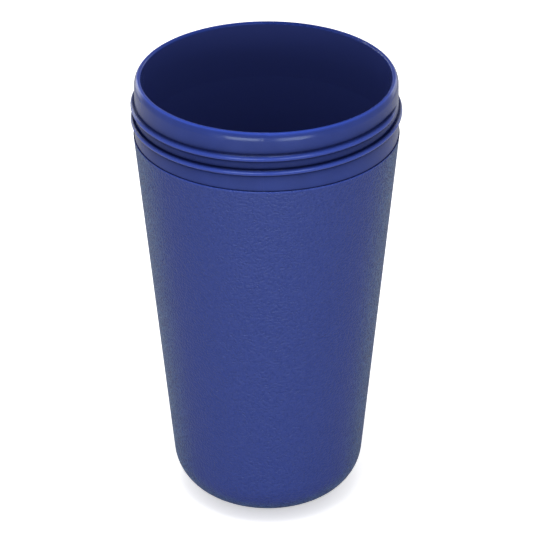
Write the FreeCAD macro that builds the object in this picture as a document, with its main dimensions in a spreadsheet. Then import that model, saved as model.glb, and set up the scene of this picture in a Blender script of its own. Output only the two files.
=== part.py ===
"""Rock tumbler barrel: a tapered, open-mouthed barrel with a screw neck, its screw lid and the lid's gasket.

Millimetres, +Z up, origin at the centre of the base plane. The lid and gasket are drawn screwed home and
then lifted straight up by a whole number of thread pitches, so they stand clear above the open mouth at rest.
"""

import FreeCAD
import Part
import math
import os

import Sketcher
from FreeCAD import Placement, Rotation, Vector

SHEET = "Dimensions"

DIMENSIONS = {
    # Barrel, outside
    "barrel_height": 270.0,
    "foot_radius": 54.25,  # where the wall's line meets the base plane, inside the corner round
    "foot_corner": 26.6,
    "shoulder_radius": 77.0,  # top of the grained wall
    "shoulder_drop": 35.3,  # from the rim down to the shoulder
    "shoulder_round": 0.25,
    "collar_radius": 76.5,  # foot of the neck, just above the shoulder
    "neck_radius": 76.0,  # top of the neck, just under the lip
    # Barrel, mouth and inside
    "mouth_radius": 72.2,
    "lead_in_height": 4.4,  # the lip's outer side is an arc that leads the lid on
    "lead_in_width": 2.0,
    "lead_in_arc": 6.2,
    "lip_inner_round": 1.3,
    "lip_outer_round": 0.9,
    "cavity_knee_radius": 72.0,  # inside, level with the shoulder
    "cavity_foot_radius": 51.3,
    "cavity_corner": 23.0,
    "floor_thickness": 5.0,
    "foot_recess_radius": 22.0,
    "foot_recess_depth": 1.6,
    "gate_mark_radius": 4.0,
    "gate_mark_height": 0.7,
    # Screw thread, shared by neck and lid
    "pitch": 8.8,
    "thread_drop": 23.4,  # rim to the middle of the lower turn, at the front
    "neck_crest_radius": 78.3,
    "neck_ridge_foot": 6.0,
    "neck_ridge_crest": 3.4,
    "neck_first_angle": 150.0,
    "neck_last_angle": 712.0,
    "lid_crest_radius": 77.0,
    "lid_ridge_foot": 5.0,
    "lid_ridge_crest": 2.6,
    "lid_first_angle": 205.0,
    "lid_last_angle": 700.0,
    "thread_fade": 24.0,  # degrees over which a ridge sinks into its wall
    "ridge_crown": 1.0,
    "ridge_sink": 1.2,
    # Lid
    "lid_bore_radius": 79.0,
    "lid_outer_radius": 82.4,
    "lid_panel_thickness": 4.0,
    "lid_skirt_drop": 32.5,  # rim to the skirt's lower edge, screwed home
    "lid_edge_round": 2.5,
    "lid_centre_radius": 65.0,
    "lid_centre_recess": 2.0,
    "lid_boss_radius": 68.0,
    "lid_boss_drop": 1.6,
    "lid_mouth_chamfer": 1.0,
    "grip_rib_count": 60,
    "grip_rib_radius": 1.3,
    "grip_rib_clear": 3.0,
    # Gasket
    "gasket_inner_radius": 68.05,
    "gasket_outer_radius": 78.6,
    "gasket_thickness": 3.0,
    "gasket_round": 0.5,
    "seat_gap": 0.05,
    # Lid lifted off, in whole turns of the thread
    "lift_turns": 14,
}

FRONT_ANGLE = 270.0
SECTION_STEP = 8.0  # degrees between the sections that a ridge is lofted through


class Size:
    """A length that carries both its value and the expression that yields it from the sheet's cells."""

    def __init__(self, value, text=None):
        self.value = float(value)
        self.text = text or repr(self.value)

    def join(self, sign, other, value):
        return Size(value, f"({self.text} {sign} {other.text})")

    def __add__(self, other):
        other = as_size(other)
        return self.join("+", other, self.value + other.value)

    def __sub__(self, other):
        other = as_size(other)
        return self.join("-", other, self.value - other.value)

    def __mul__(self, other):
        other = as_size(other)
        return self.join("*", other, self.value * other.value)

    def __truediv__(self, other):
        other = as_size(other)
        return self.join("/", other, self.value / other.value)


def as_size(value):
    return value if isinstance(value, Size) else Size(value)


ZERO = Size(0)


class Dimensions:
    """The sheet's cells as attributes, each a Size."""

    def __init__(self, doc, values):
        sheet = doc.addObject("Spreadsheet::Sheet", SHEET)
        for row, (name, value) in enumerate(values.items(), start=1):
            sheet.set(f"A{row}", name)
            sheet.set(f"B{row}", str(value))
            sheet.setAlias(f"B{row}", name)
        doc.recompute()
        for name in values:
            setattr(self, name, Size(getattr(sheet, name), f"{SHEET}.{name}"))


def origin_plane(body, role):
    return next(item for item in body.Origin.OriginFeatures if item.Role == role)


def new_sketch(body, name, role="XZ_Plane"):
    sketch = body.newObject("Sketcher::SketchObject", name)
    sketch.AttachmentSupport = [(origin_plane(body, role), "")]
    sketch.MapMode = "FlatFace"
    return sketch


def hold(sketch, constraint, name, size):
    """Adds a named constraint and binds it to the sheet's cells."""
    index = sketch.addConstraint(constraint)
    sketch.renameConstraint(index, name)
    sketch.setExpression(f"Constraints.{name}", size.text)


def profile(sketch, corners, arcs=()):
    """Draws a closed outline through corners given as (radius, height).

    arcs maps a side's number to its arc radius, bulging to the right of travel; the other sides are straight.
    """
    arcs = dict(arcs)
    points = [Vector(r.value, z.value, 0) for r, z in corners]
    sides = len(points)
    for side in range(sides):
        start, end = points[side], points[(side + 1) % sides]
        if side in arcs:
            radius = arcs[side].value
            chord = end - start
            outward = Vector(chord.y, -chord.x, 0).normalize()
            sagitta = radius - math.sqrt(radius**2 - (chord.Length / 2) ** 2)
            sketch.addGeometry(Part.Arc(start, (start + end) / 2 + outward * sagitta, end), False)
        else:
            sketch.addGeometry(Part.LineSegment(start, end), False)
    # An arc is stored anticlockwise, so its first point is the side's start only when it was drawn that way.
    first, last = {}, {}
    for side in range(sides):
        geometry = sketch.Geometry[side]
        straight = (geometry.StartPoint - points[side]).Length < 1e-6
        first[side], last[side] = (1, 2) if straight else (2, 1)
    for side in range(sides):
        after = (side + 1) % sides
        sketch.addConstraint(Sketcher.Constraint("Coincident", side, last[side], after, first[after]))
    for side, (r, z) in enumerate(corners):
        for axis, size, label in (("DistanceX", r, "r"), ("DistanceY", z, "z")):
            if size is ZERO:
                line = -2 if axis == "DistanceX" else -1
                sketch.addConstraint(Sketcher.Constraint("PointOnObject", side, first[side], line))
                continue
            constraint = Sketcher.Constraint(axis, -1, 1, side, first[side], size.value)
            hold(sketch, constraint, f"{label}{side}", size)
    for side, radius in arcs.items():
        hold(sketch, Sketcher.Constraint("Radius", side, radius.value), f"arc{side}", radius)


def revolve(body, sketch, name, kind="PartDesign::Revolution"):
    feature = body.newObject(kind, name)
    feature.Profile = sketch
    feature.ReferenceAxis = (sketch, ["V_Axis"])
    feature.Angle = 360.0
    sketch.Visibility = False
    FreeCAD.ActiveDocument.recompute()
    return feature


def ring_edges(shape, rings):
    """Names of the circular edges at the given (radius, height) pairs."""
    names = []
    for radius, height in rings:
        found = [
            f"Edge{i}"
            for i, edge in enumerate(shape.Edges, start=1)
            if isinstance(edge.Curve, Part.Circle)
            and abs(edge.Curve.Radius - radius.value) < 0.02
            and abs(edge.Curve.Center.z - height.value) < 0.02
        ]
        if not found:
            raise RuntimeError(f"no edge of radius {radius.text} at height {height.text}")
        names += found
    return names


def dress(body, base, kind, name, size, rings):
    """Adds a PartDesign fillet or chamfer of the given size along circular edges."""
    feature = body.newObject(kind, name)
    feature.Base = (base, ring_edges(base.Shape, rings))
    feature.setExpression("Radius" if kind.endswith("Fillet") else "Size", size.text)
    FreeCAD.ActiveDocument.recompute()
    return feature


def ridge(d, root, crest, foot, top, middle_height, first, last):
    """A helical ridge with sunk, faded ends, as a solid lofted through sections about the Z axis.

    root is the radius of the wall it stands on and crest its full radius, either side of the wall. The
    ridge's middle is at middle_height at the front and climbs one pitch a turn.
    """
    reach = crest - root
    inward = math.copysign(d.ridge_sink.value, reach)
    crown = math.copysign(d.ridge_crown.value, reach)
    fade = d.thread_fade.value
    count = math.ceil((last - first) / SECTION_STEP)
    wires = []
    for i in range(count + 1):
        angle = first + (last - first) * i / count
        share = min(1.0, (angle - first) / fade, (last - angle) / fade)
        # The ends finish just under the wall's surface.
        height = reach * math.sin(share * math.pi / 2) - (1 - share) * 0.3 * inward
        z = middle_height + d.pitch.value * (angle - FRONT_ANGLE) / 360
        edge_radius = root + height - crown * share
        corners = [
            Vector(root - inward, 0, z - foot / 2),
            Vector(edge_radius, 0, z - top / 2),
            Vector(edge_radius, 0, z + top / 2),
            Vector(root - inward, 0, z + foot / 2),
        ]
        summit = Vector(root + height + crown * 0.02, 0, z)
        edges = [
            Part.LineSegment(corners[0], corners[1]).toShape(),
            Part.Arc(corners[1], summit, corners[2]).toShape(),
            Part.LineSegment(corners[2], corners[3]).toShape(),
            Part.LineSegment(corners[3], corners[0]).toShape(),
        ]
        wire = Part.Wire(edges)
        wire.rotate(Vector(0, 0, 0), Vector(0, 0, 1), angle)
        wires.append(wire)
    return Part.makeLoft(wires, True, False)


def fuse(doc, name, base, tool):
    joined = doc.addObject("Part::Fuse", name)
    joined.Base = base
    joined.Tool = tool
    joined.Refine = False
    doc.recompute()
    return joined


def make_barrel(doc, d):
    body = doc.addObject("PartDesign::Body", "BarrelBody")
    rim = d.barrel_height
    shoulder = rim - d.shoulder_drop
    lip_radius = d.neck_radius - d.lead_in_width

    outside = new_sketch(body, "BarrelOutside")
    profile(
        outside,
        [
            (ZERO, ZERO),
            (d.foot_radius, ZERO),
            (d.shoulder_radius, shoulder),
            (d.collar_radius, shoulder),
            (d.neck_radius, rim - d.lead_in_height),
            (lip_radius, rim),
            (ZERO, rim),
        ],
        {4: d.lead_in_arc},
    )
    revolve(body, outside, "BarrelBlank")

    inside = new_sketch(body, "CavityOutline")
    profile(
        inside,
        [
            (ZERO, d.floor_thickness),
            (d.cavity_foot_radius, d.floor_thickness),
            (d.cavity_knee_radius, shoulder),
            (d.mouth_radius, rim),
            (ZERO, rim),
        ],
    )
    shape = revolve(body, inside, "Cavity", "PartDesign::Groove")
    for name, size, radius, height in (
        ("CavityCorner", d.cavity_corner, d.cavity_foot_radius, d.floor_thickness),
        ("FootCorner", d.foot_corner, d.foot_radius, ZERO),
        ("ShoulderRound", d.shoulder_round, d.shoulder_radius, shoulder),
        ("LipOuterRound", d.lip_outer_round, lip_radius, rim),
        ("LipInnerRound", d.lip_inner_round, d.mouth_radius, rim),
    ):
        shape = dress(body, shape, "PartDesign::Fillet", name, size, [(radius, height)])

    under = new_sketch(body, "FootRecessOutline")
    profile(
        under,
        [
            (ZERO, d.gate_mark_height),
            (d.gate_mark_radius, d.gate_mark_height),
            (d.gate_mark_radius, d.foot_recess_depth),
            (d.foot_recess_radius, d.foot_recess_depth),
            (d.foot_recess_radius + d.foot_recess_depth, ZERO),
            (ZERO, ZERO),
        ],
    )
    body.Tip = revolve(body, under, "FootRecess", "PartDesign::Groove")
    doc.recompute()

    thread = doc.addObject("Part::Feature", "NeckThread")
    thread.Shape = ridge(
        d,
        root=d.neck_radius.value,
        crest=d.neck_crest_radius.value,
        foot=d.neck_ridge_foot.value,
        top=d.neck_ridge_crest.value,
        middle_height=(rim - d.thread_drop).value,
        first=d.neck_first_angle.value,
        last=d.neck_last_angle.value,
    )
    return fuse(doc, "barrel", body, thread)


def make_lid(doc, d):
    body = doc.addObject("PartDesign::Body", "LidBody")
    ceiling = d.barrel_height + d.gasket_thickness + d.seat_gap * 2
    top = ceiling + d.lid_panel_thickness
    bottom = d.barrel_height - d.lid_skirt_drop
    centre = top - d.lid_centre_recess
    boss = ceiling - d.lid_boss_drop

    outline = new_sketch(body, "LidOutline")
    profile(
        outline,
        [
            (ZERO, centre),
            (d.lid_centre_radius, centre),
            (d.lid_centre_radius + d.lid_centre_recess, top),
            (d.lid_outer_radius, top),
            (d.lid_outer_radius, bottom),
            (d.lid_bore_radius, bottom),
            (d.lid_bore_radius, ceiling),
            (d.lid_boss_radius, ceiling),
            (d.lid_boss_radius, boss),
            (ZERO, boss),
        ],
    )
    shape = revolve(body, outline, "LidBlank")
    for kind, name, size, radius, height in (
        ("PartDesign::Fillet", "LidEdgeRound", d.lid_edge_round, d.lid_outer_radius, top),
        ("PartDesign::Chamfer", "LidMouthChamfer", d.lid_mouth_chamfer, d.lid_bore_radius, bottom),
    ):
        shape = dress(body, shape, kind, name, size, [(radius, height)])

    section = new_sketch(body, "GripRibSection", "XY_Plane")
    middle = Vector(d.lid_outer_radius.value, 0, 0)
    section.addGeometry(Part.Circle(middle, Vector(0, 0, 1), d.grip_rib_radius.value), False)
    section.addConstraint(Sketcher.Constraint("PointOnObject", 0, 3, -1))
    hold(section, Sketcher.Constraint("DistanceX", -1, 1, 0, 3, middle.x), "reach", d.lid_outer_radius)
    hold(section, Sketcher.Constraint("Radius", 0, d.grip_rib_radius.value), "size", d.grip_rib_radius)
    section.setExpression("AttachmentOffset.Base.z", (bottom + d.grip_rib_clear).text)
    rib = body.newObject("PartDesign::Pad", "GripRib")
    rib.Profile = section
    rib.setExpression("Length", (top - bottom - d.grip_rib_clear * 2).text)
    section.Visibility = False
    doc.recompute()
    ribs = body.newObject("PartDesign::PolarPattern", "GripRibs")
    ribs.Originals = [rib]
    ribs.Axis = (section, ["N_Axis"])
    ribs.Angle = 360.0
    ribs.setExpression("Occurrences", d.grip_rib_count.text)
    body.Tip = ribs
    doc.recompute()

    thread = doc.addObject("Part::Feature", "LidThread")
    thread.Shape = ridge(
        d,
        root=d.lid_bore_radius.value,
        crest=d.lid_crest_radius.value,
        foot=d.lid_ridge_foot.value,
        top=d.lid_ridge_crest.value,
        middle_height=(d.barrel_height - d.thread_drop - d.pitch / 2).value,
        first=d.lid_first_angle.value,
        last=d.lid_last_angle.value,
    )
    return fuse(doc, "lid", body, thread)


def make_gasket(doc, d):
    body = doc.addObject("PartDesign::Body", "lid_gasket")
    low = d.barrel_height + d.seat_gap
    high = low + d.gasket_thickness
    corners = [
        (d.gasket_inner_radius, low),
        (d.gasket_outer_radius, low),
        (d.gasket_outer_radius, high),
        (d.gasket_inner_radius, high),
    ]
    outline = new_sketch(body, "GasketOutline")
    profile(outline, corners)
    ring = revolve(body, outline, "GasketRing")
    dress(body, ring, "PartDesign::Fillet", "GasketRound", d.gasket_round, corners)
    return body


def check(doc, parts):
    for item in doc.Objects:
        bad = [state for state in item.State if state in ("Invalid", "Error")]
        if bad:
            raise RuntimeError(f"{item.Name} is {bad}")
    for part in parts:
        if part.Shape.isNull() or not part.Shape.isValid():
            raise RuntimeError(f"{part.Label} has no valid shape")


def main():
    doc = FreeCAD.newDocument("rock_tumbler_barrel")
    d = Dimensions(doc, DIMENSIONS)
    barrel = make_barrel(doc, d)
    lid = make_lid(doc, d)
    gasket = make_gasket(doc, d)
    for part in (lid, gasket):
        part.setExpression("Placement.Base.z", (d.lift_turns * d.pitch).text)
    doc.recompute()
    parts = (barrel, lid, gasket)
    check(doc, parts)
    os.makedirs("parts", exist_ok=True)
    for part in parts:
        shape = part.Shape
        shape.exportStep(f"parts/{part.Label}.step")
        box = shape.BoundBox
        heights = f"from {box.ZMin:.2f} to {box.ZMax:.2f} mm"
        print(f"{part.Label}: {len(shape.Solids)} solid, {shape.Volume / 1000:.1f} cm3, {heights}")


main()
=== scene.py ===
"""Looks for a rock tumbler barrel: a glossy screw neck over a pebble-grained wall, with its lid and gasket.

Metres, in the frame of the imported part. The three bodies keep their shapes; their materials are set here.
"""

import math

import bpy
from mathutils import Matrix, Vector


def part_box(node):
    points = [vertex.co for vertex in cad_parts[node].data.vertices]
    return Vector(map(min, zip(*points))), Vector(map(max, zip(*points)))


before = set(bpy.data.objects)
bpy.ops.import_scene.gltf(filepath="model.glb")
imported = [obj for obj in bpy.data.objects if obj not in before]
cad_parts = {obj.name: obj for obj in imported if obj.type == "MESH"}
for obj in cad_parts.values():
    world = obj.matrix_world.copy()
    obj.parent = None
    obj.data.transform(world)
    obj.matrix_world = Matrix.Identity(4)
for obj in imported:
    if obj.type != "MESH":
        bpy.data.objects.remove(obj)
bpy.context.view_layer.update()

MM = 0.001

# Heights on the barrel, from its box in the frame.
RIM_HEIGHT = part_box("barrel")[1][2]
SHOULDER_DROP = 35.3 * MM
SHOULDER_HEIGHT = RIM_HEIGHT - SHOULDER_DROP


# ---------------------------------------------------------------- node helpers


class Graph:
    """A material's node tree, with one short call for each kind of node."""

    def __init__(self, name):
        self.material = bpy.data.materials.new(name)
        self.material.use_nodes = True
        self.tree = self.material.node_tree
        self.tree.nodes.clear()
        self.output = self.tree.nodes.new("ShaderNodeOutputMaterial")

    def set(self, socket, value):
        """Feeds a socket from another socket, or gives it a constant."""
        if isinstance(value, bpy.types.NodeSocket):
            self.tree.links.new(value, socket)
        elif socket.type == "RGBA":
            socket.default_value = (*value[:3], 1.0)
        else:
            socket.default_value = value

    def node(self, kind, settings=None, **inputs):
        """Adds a node; an underscore in an input's name here stands for a space."""
        node = self.tree.nodes.new(kind)
        for name, value in (settings or {}).items():
            setattr(node, name, value)
        for name, value in inputs.items():
            self.set(node.inputs[name.replace("_", " ")], value)
        return node

    def math(self, operation, a, b=0.0):
        node = self.node("ShaderNodeMath", {"operation": operation})
        self.set(node.inputs[0], a)
        self.set(node.inputs[1], b)
        return node.outputs[0]

    def ramp(self, value, start, end, low=0.0, high=1.0):
        """Goes smoothly from low at start to high at end."""
        node = self.node(
            "ShaderNodeMapRange",
            {"interpolation_type": "SMOOTHSTEP"},
            Value=value,
            From_Min=start,
            From_Max=end,
            To_Min=low,
            To_Max=high,
        )
        return node.outputs["Result"]

    def mix(self, share, a, b):
        """Colour a at share 0 and colour b at share 1."""
        node = self.node("ShaderNodeMix", {"data_type": "RGBA"})
        for index, item in ((0, share), (6, a), (7, b)):
            self.set(node.inputs[index], item)
        return node.outputs[2]

    def blend(self, share, a, b):
        """Number a at share 0 and number b at share 1."""
        node = self.node("ShaderNodeMix")
        for index, item in ((0, share), (2, a), (3, b)):
            self.set(node.inputs[index], item)
        return node.outputs[0]

    def position(self):
        return self.node("ShaderNodeTexCoord").outputs["Object"]

    def axes(self, vector):
        return self.node("ShaderNodeSeparateXYZ", Vector=vector).outputs

    def noise(self, vector, size, detail=2.0, roughness=0.5):
        """Soft random values, in blots about size metres across."""
        node = self.node(
            "ShaderNodeTexNoise",
            Vector=vector,
            Scale=1.0 / size,
            Detail=detail,
            Roughness=roughness,
        )
        return node.outputs["Fac"]

    def cells(self, vector, size):
        """Distance from the middle of pebble-like cells about size metres across."""
        node = self.node(
            "ShaderNodeTexVoronoi",
            {"feature": "SMOOTH_F1"},
            Vector=vector,
            Scale=1.0 / size,
            Smoothness=CELL_SMOOTHNESS,
        )
        return node.outputs["Distance"]

    def grain(self, vector, pebble, blot):
        """Moulded pebble grain as a height, cells roughened by finer noise, and that noise by itself."""
        cells = self.cells(vector, pebble)
        noise = self.noise(vector, blot)
        cell_height = self.math("MULTIPLY", cells, CELL_SHARE)
        noise_height = self.math("MULTIPLY", noise, NOISE_SHARE)
        return self.math("ADD", cell_height, noise_height), noise

    def openness(self, reach):
        """1 in the open, down to 0 in grooves and inner corners within reach metres."""
        node = self.node("ShaderNodeAmbientOcclusion", {"samples": OCCLUSION_SAMPLES}, Distance=reach)
        return self.ramp(node.outputs["AO"], GROOVE_OCCLUSION, OPEN_OCCLUSION)

    def thin(self, reach):
        """1 on crests and lips, where the piece is thinner than reach metres, and 0 on broad walls."""
        settings = {"samples": OCCLUSION_SAMPLES, "inside": True}
        node = self.node("ShaderNodeAmbientOcclusion", settings, Distance=reach)
        return self.ramp(node.outputs["AO"], BROAD_OCCLUSION, THIN_OCCLUSION)

    def grazing(self):
        """0 where the surface faces the viewer, 1 where it turns away."""
        facing = self.node("ShaderNodeLayerWeight", Blend=0.5).outputs["Facing"]
        return self.ramp(facing, GRAZING_START, GRAZING_END)

    def outward(self, vector, middle):
        """1 on faces that look away from the middle of the hollow, 0 on the faces inside it."""
        from_middle = self.node("ShaderNodeVectorMath", {"operation": "SUBTRACT"})
        self.set(from_middle.inputs[0], vector)
        self.set(from_middle.inputs[1], middle)
        facing = self.node("ShaderNodeVectorMath", {"operation": "DOT_PRODUCT"})
        self.set(facing.inputs[0], from_middle.outputs[0])
        self.set(facing.inputs[1], self.node("ShaderNodeNewGeometry").outputs["True Normal"])
        return self.math("GREATER_THAN", facing.outputs["Value"], 0.0)

    def away_from(self, mask):
        """1 where the mask is 0, and 0 where it is 1."""
        return self.math("SUBTRACT", 1.0, mask)

    def bump(self, height, distance, normal=None):
        """The surface's normal, tilted by a relief whose height of 1 stands for distance metres."""
        node = self.node("ShaderNodeBump", Height=height, Distance=distance, Strength=1.0)
        if normal is not None:
            self.set(node.inputs["Normal"], normal)
        return node.outputs["Normal"]

    def surface(self, **inputs):
        shader = self.node("ShaderNodeBsdfPrincipled", **inputs)
        self.tree.links.new(shader.outputs[0], self.output.inputs["Surface"])
        return self.material


# ---------------------------------------------------------------- materials


# Blues of the plastic, as linear colours.
BLUE_PEAK = (0.027, 0.046, 0.238)
BLUE_PIT = (0.018, 0.035, 0.206)
# Painted sheen on the grained wall where it turns away from the viewer.
BLUE_GRAZING_SHEEN = (0.095, 0.185, 0.400)
# Lighter, greyer blue painted inside the hollow as a painted reflection.
BLUE_INSIDE_SHEEN = (0.050, 0.072, 0.290)
# Painted shade in grooves and inner corners.
BLUE_PAINTED_SHADE = (0.004, 0.007, 0.040)
BLUE_NECK = (0.019, 0.037, 0.215)
BLUE_NECK_DEEP = (0.017, 0.033, 0.195)
# Lighter blue: a painted highlight along the barrel's lip, ridge crests and ledge, and mixed a little onto
# the lid's crests.
BLUE_EDGE = (0.036, 0.080, 0.500)
SHEEN = (0.76, 0.90, 1.0)
PLASTIC_IOR = 1.5
SMOOTH_SPECULAR = 0.5
GRAIN_SPECULAR = 0.45

# The moulded grain.
CELL_SMOOTHNESS = 0.6
CELL_SHARE = 0.75
NOISE_SHARE = 0.9
PIT_LEVEL, PEAK_LEVEL = 0.55, 0.95
# Grain levels over which the painted sheen sets in.
SHEEN_START, SHEEN_END = 0.65, 0.90
WALL_GRAIN_DEPTH = 1.3 * MM
FACING_RELIEF, GRAZING_RELIEF = 0.45, 2.8
LID_GRAIN_DEPTH = 0.5 * MM

# Where soft noise counts as low and as high, and how light reaches grooves, crests and turned-away faces.
NOISE_LOW, NOISE_HIGH = 0.3, 0.7
OCCLUSION_SAMPLES = 8
GROOVE_OCCLUSION, OPEN_OCCLUSION = 0.76, 0.99
BROAD_OCCLUSION, THIN_OCCLUSION = 0.97, 0.70
GRAZING_START, GRAZING_END = 0.45, 0.90

# The mould's parting line, up the front and back of the neck.
SEAM_OFFSET = -2.3 * MM
SEAM_WIDTH = 0.5 * MM
SEAM_HEIGHT = 0.06 * MM

HOLLOW_MIDDLE = (0, 0, 100 * MM)
# Share of painted highlight in the band along the ledge.
LEDGE_HIGHLIGHT = 0.45
# How much lighter the lid's crests and lips are.
LID_CREST_LIGHTENING = 0.4


def barrel_masks(g, here, height):
    """Where the barrel is grained, where it is inside the hollow, and which faces look outward."""
    outward = g.outward(here, HOLLOW_MIDDLE)
    below = g.ramp(height, SHOULDER_HEIGHT - 0.1 * MM, SHOULDER_HEIGHT - 0.5 * MM)
    grained = g.math("MULTIPLY", below, outward)
    under_rim = g.ramp(height, RIM_HEIGHT - 0.6 * MM, RIM_HEIGHT - 2.2 * MM)
    inside = g.math("MULTIPLY", under_rim, g.away_from(outward))
    return grained, inside, outward


def wall_colour(g, height, grain, grazing):
    """Grained wall: darker pits, a painted sheen on the peaks where it turns away, and a painted highlight
    in a band along the ledge.
    """
    colour = g.mix(g.ramp(grain, PIT_LEVEL, PEAK_LEVEL), BLUE_PIT, BLUE_PEAK)
    # Painted sheen on the grain's peaks where the wall turns away.
    painted_sheen = g.math("MULTIPLY", grazing, g.ramp(grain, SHEEN_START, SHEEN_END))
    colour = g.mix(painted_sheen, colour, BLUE_GRAZING_SHEEN)
    # Painted highlight in a band along the ledge, where its edge catches light.
    ledge_highlight = g.ramp(height, SHOULDER_HEIGHT - 1.6 * MM, SHOULDER_HEIGHT - 0.5 * MM, 0.0, LEDGE_HIGHLIGHT)
    return g.mix(ledge_highlight, colour, BLUE_EDGE)


def neck_colour(g, slow, inside, unshaded):
    """Smooth plastic: a painted highlight along the lip and the ridge crests, painted shade in the grooves,
    and a plainer, lighter blue inside the hollow as a painted reflection.
    """
    colour = g.mix(g.ramp(slow, NOISE_LOW, NOISE_HIGH), BLUE_NECK_DEEP, BLUE_NECK)
    # Painted highlight along the lip and the ridge crests.
    colour = g.mix(g.thin(2.6 * MM), colour, BLUE_EDGE)
    # Painted reflection: a lighter, greyer blue inside the hollow.
    colour = g.mix(inside, colour, BLUE_INSIDE_SHEEN)
    # Painted shade in the grooves and inner corners.
    return g.mix(unshaded, BLUE_PAINTED_SHADE, colour)


def barrel_plastic():
    """Glossy blue moulding whose outer wall, below the shoulder, has a moulded pebble grain."""
    g = Graph("barrel_plastic")
    here = g.position()
    axes = g.axes(here)
    height = axes["Z"]
    grained, inside, outward = barrel_masks(g, here, height)
    grain, fine = g.grain(here, 1.4 * MM, 1.1 * MM)
    slow = g.noise(here, 16 * MM, detail=1.0)
    grazing = g.grazing()

    seam = g.math("ABSOLUTE", g.math("SUBTRACT", axes["X"], SEAM_OFFSET))
    seam = g.math("MULTIPLY", g.ramp(seam, SEAM_WIDTH, 0.0), g.math("SUBTRACT", outward, grained))
    relief = g.blend(grazing, FACING_RELIEF, GRAZING_RELIEF)
    relief = g.math("MULTIPLY", g.math("MULTIPLY", grain, grained), relief)
    normal = g.bump(slow, 0.03 * MM)
    normal = g.bump(seam, SEAM_HEIGHT, normal=normal)
    normal = g.bump(relief, WALL_GRAIN_DEPTH, normal=normal)

    # Where no painted shade goes: in the open, and inside the hollow.
    unshaded = g.math("MAXIMUM", g.openness(8 * MM), inside)
    smooth_colour = neck_colour(g, slow, inside, unshaded)
    smooth_roughness = g.ramp(slow, NOISE_LOW, NOISE_HIGH, 0.19, 0.23)
    grain_roughness = g.ramp(fine, NOISE_LOW, NOISE_HIGH, 0.30, 0.42)
    smooth_specular = g.math("MULTIPLY", unshaded, SMOOTH_SPECULAR)
    return g.surface(
        Base_Color=g.mix(grained, smooth_colour, wall_colour(g, height, grain, grazing)),
        Roughness=g.blend(grained, smooth_roughness, grain_roughness),
        IOR=PLASTIC_IOR,
        Specular_IOR_Level=g.blend(grained, smooth_specular, GRAIN_SPECULAR),
        Specular_Tint=SHEEN,
        Normal=normal,
    )


def lid_plastic():
    """The same blue, with a finer grain, a little lighter on its crests, and painted shade between its grip
    ribs.
    """
    g = Graph("lid_plastic")
    here = g.position()
    grain, _ = g.grain(here, 1.1 * MM, 0.9 * MM)
    slow = g.noise(here, 20 * MM, detail=1.0)
    colour = g.mix(g.ramp(grain, PIT_LEVEL, PEAK_LEVEL), BLUE_PIT, BLUE_PEAK)
    # Lighter blue on the lid's crests and lips.
    colour = g.mix(g.math("MULTIPLY", g.thin(1.6 * MM), LID_CREST_LIGHTENING), colour, BLUE_EDGE)
    # Painted shade between the grip ribs and in inner corners.
    unshaded = g.openness(3 * MM)
    return g.surface(
        Base_Color=g.mix(unshaded, BLUE_PAINTED_SHADE, colour),
        Roughness=g.ramp(slow, NOISE_LOW, NOISE_HIGH, 0.32, 0.38),
        IOR=PLASTIC_IOR,
        Specular_IOR_Level=g.math("MULTIPLY", unshaded, GRAIN_SPECULAR),
        Normal=g.bump(grain, LID_GRAIN_DEPTH),
    )


RUBBER_BLACK = (0.018, 0.018, 0.019)
RUBBER_DUST = (0.05, 0.05, 0.052)


def gasket_rubber():
    """Matte black rubber with a powdery speckle."""
    g = Graph("gasket_rubber")
    here = g.position()
    speckle = g.noise(here, 0.5 * MM, detail=4.0, roughness=0.7)
    colour = g.mix(g.ramp(speckle, 0.45, 0.75), RUBBER_BLACK, RUBBER_DUST)
    roughness = g.ramp(speckle, NOISE_LOW, NOISE_HIGH, 0.62, 0.8)
    normal = g.bump(speckle, 0.05 * MM)
    return g.surface(Base_Color=colour, Roughness=roughness, IOR=1.5, Normal=normal)


PAPER_LIGHT = (0.96, 0.96, 0.96)
PAPER_SHADE = (0.93, 0.93, 0.93)
FLOOR_BOUNCE = (0.5, 0.5, 0.5)
FLOOR_GLOW = 0.45


def floor_paper():
    """Pale studio paper, brighter to the camera than to the object, and clear from underneath."""
    g = Graph("floor_paper")
    fibre = g.noise(g.position(), 1.2 * MM, detail=3.0)
    seen = g.mix(fibre, PAPER_SHADE, PAPER_LIGHT)
    by_camera = g.node("ShaderNodeLightPath").outputs["Is Camera Ray"]
    return g.surface(
        Base_Color=g.mix(by_camera, FLOOR_BOUNCE, seen),
        Roughness=0.9,
        IOR=1.3,
        Normal=g.bump(fibre, 0.03 * MM),
        Emission_Color=(1, 1, 1),
        Emission_Strength=g.math("MULTIPLY", by_camera, FLOOR_GLOW),
        Alpha=g.away_from(g.node("ShaderNodeNewGeometry").outputs["Backfacing"]),
    )


def dress(node, material):
    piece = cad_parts[node]
    piece.data.materials.clear()
    piece.data.materials.append(material)


# ---------------------------------------------------------------- studio

FLOOR_HALF = 6.0
HORIZON_LIGHT = 0.5
ZENITH_LIGHT = 0.85
HORIZON_REFLECTION = 0.5
ZENITH_REFLECTION = 0.12
ZENITH_START = 0.9  # sine of the elevation from which the sky is as bright as at the zenith

# The camera, as fitted to the object: distances in neck radii from the middle of the rim.
NECK_RADIUS = 76.03 * MM
CAMERA_BACK = 24.079
CAMERA_RISE = 11.576
CAMERA_LEFT = 0.45 * MM
CAMERA_PITCH = math.radians(28.77)
CAMERA_ROLL = math.radians(0.3)
SENSOR_WIDTH = 36.0  # millimetres, as is the lens
LENS_LENGTH = 238.93
FAR_CLIP = 50


def floor():
    half = FLOOR_HALF
    corners = [(-half, -half, 0), (half, -half, 0), (half, half, 0), (-half, half, 0)]
    mesh = bpy.data.meshes.new("floor")
    mesh.from_pydata(corners, [], [(0, 1, 2, 3)])
    mesh.materials.append(floor_paper())
    plane = bpy.data.objects.new("floor", mesh)
    bpy.context.collection.objects.link(plane)


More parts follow.
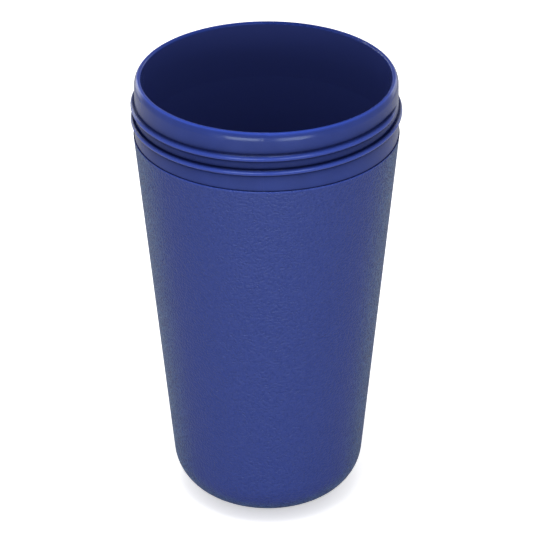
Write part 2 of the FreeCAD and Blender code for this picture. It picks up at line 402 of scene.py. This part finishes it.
def softbox(name, place, width, height, power):
    """A soft lamp of the given size and watts that faces the barrel's neck and is hidden from the camera."""
    data = bpy.data.lights.new(name, "AREA")
    data.shape = "RECTANGLE"
    data.size = width
    data.size_y = height
    data.energy = power
    lamp = bpy.data.objects.new(name, data)
    lamp.visible_camera = False
    lamp.location = place
    toward_neck = Vector((0, 0, RIM_HEIGHT)) - Vector(place)
    lamp.rotation_euler = toward_neck.to_track_quat("-Z", "Y").to_euler()
    bpy.context.collection.objects.link(lamp)


def sky():
    """Soft light, brightest overhead, but dark overhead in reflections, as in a studio with few lamps."""
    world = bpy.data.worlds.new("sky")
    bpy.context.scene.world = world
    world.use_nodes = True
    tree = world.node_tree
    direction = tree.nodes.new("ShaderNodeTexCoord").outputs["Generated"]
    split = tree.nodes.new("ShaderNodeSeparateXYZ")
    tree.links.new(direction, split.inputs[0])

    def rise(low, high):
        ramp = tree.nodes.new("ShaderNodeMapRange")
        ramp.interpolation_type = "SMOOTHSTEP"
        settings = {"From Min": 0.0, "From Max": ZENITH_START, "To Min": low, "To Max": high}
        for name, value in settings.items():
            ramp.inputs[name].default_value = value
        tree.links.new(split.outputs["Z"], ramp.inputs["Value"])
        return ramp.outputs["Result"]

    choice = tree.nodes.new("ShaderNodeMix")
    tree.links.new(tree.nodes.new("ShaderNodeLightPath").outputs["Is Glossy Ray"], choice.inputs[0])
    tree.links.new(rise(HORIZON_LIGHT, ZENITH_LIGHT), choice.inputs[2])
    tree.links.new(rise(HORIZON_REFLECTION, ZENITH_REFLECTION), choice.inputs[3])
    background = tree.nodes["Background"]
    background.inputs["Color"].default_value = (1, 1, 1, 1)
    tree.links.new(choice.outputs[0], background.inputs["Strength"])


def lamps():
    """Two boxes in front that light the lip, one overhead, and one behind each edge."""
    softbox("left_box", (-0.40, -1.15, RIM_HEIGHT - 0.08), 0.60, 0.55, 4.4)
    softbox("right_box", (0.45, -1.12, RIM_HEIGHT - 0.06), 0.55, 0.45, 3.0)
    softbox("top_box", (-0.1, -0.2, 1.7), 0.8, 0.6, 9)
    softbox("left_edge_box", (-0.85, 1.0, 0.40), 0.5, 0.9, 2.4)
    softbox("right_edge_box", (0.85, 1.0, 0.40), 0.5, 0.9, 1.6)


def camera():
    """Long lens, looking down on the barrel from the front, a little rolled."""
    data = bpy.data.cameras.new("camera")
    data.sensor_width = SENSOR_WIDTH
    data.lens = LENS_LENGTH
    data.clip_end = FAR_CLIP
    eye = bpy.data.objects.new("camera", data)
    back = CAMERA_BACK * NECK_RADIUS
    rise = CAMERA_RISE * NECK_RADIUS
    eye.location = (-CAMERA_LEFT, -back, RIM_HEIGHT + rise)
    sight = Vector((0, math.cos(CAMERA_PITCH), -math.sin(CAMERA_PITCH)))
    level = sight.to_track_quat("-Z", "Y").to_matrix()
    eye.rotation_euler = (level @ Matrix.Rotation(-CAMERA_ROLL, 3, "Z")).to_euler()
    bpy.context.collection.objects.link(eye)
    bpy.context.scene.camera = eye


dress("barrel", barrel_plastic())
dress("lid", lid_plastic())
dress("lid_gasket", gasket_rubber())
floor()
sky()
lamps()
camera()
bpy.context.scene.view_settings.view_transform = "Standard"
